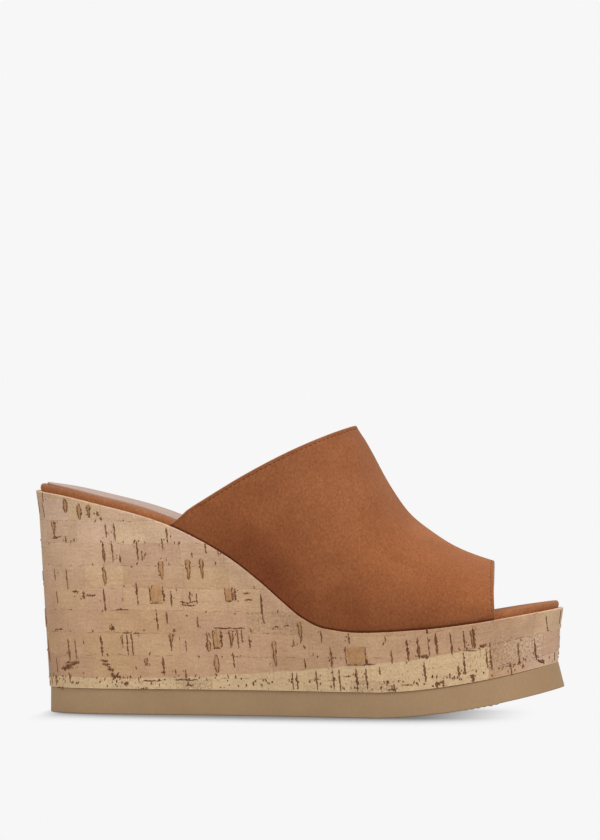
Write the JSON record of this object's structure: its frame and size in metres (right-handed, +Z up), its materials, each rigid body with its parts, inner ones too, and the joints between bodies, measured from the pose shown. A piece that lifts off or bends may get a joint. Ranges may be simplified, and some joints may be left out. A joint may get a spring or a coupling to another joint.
{
  "type": "wedge mule",
  "caption": "Backless open-toe mule with a one-piece suede upper on a cork-covered platform wedge and a rubber outsole, right foot.",
  "frame": {"origin": "on the floor under the middle of the shoe's bounding box", "axes": "+X towards the toe, +Y towards the inner side of the right foot, +Z up"},
  "size_m": [0.2348, 0.0862, 0.1276],
  "materials": {
    "outsole_rubber": "matt, light brown",
    "cork": "cork veneer in strips, satin",
    "suede": "tan suede with a short nap",
    "sock_leather": "smooth pale pinkish beige"
  },
  "bodies": {
    "root": {"outsole": "outsole_rubber", "wedge": "cork", "footbed": "suede", "sock": "sock_leather", "upper": "suede"}
  },
  "joints": []
}
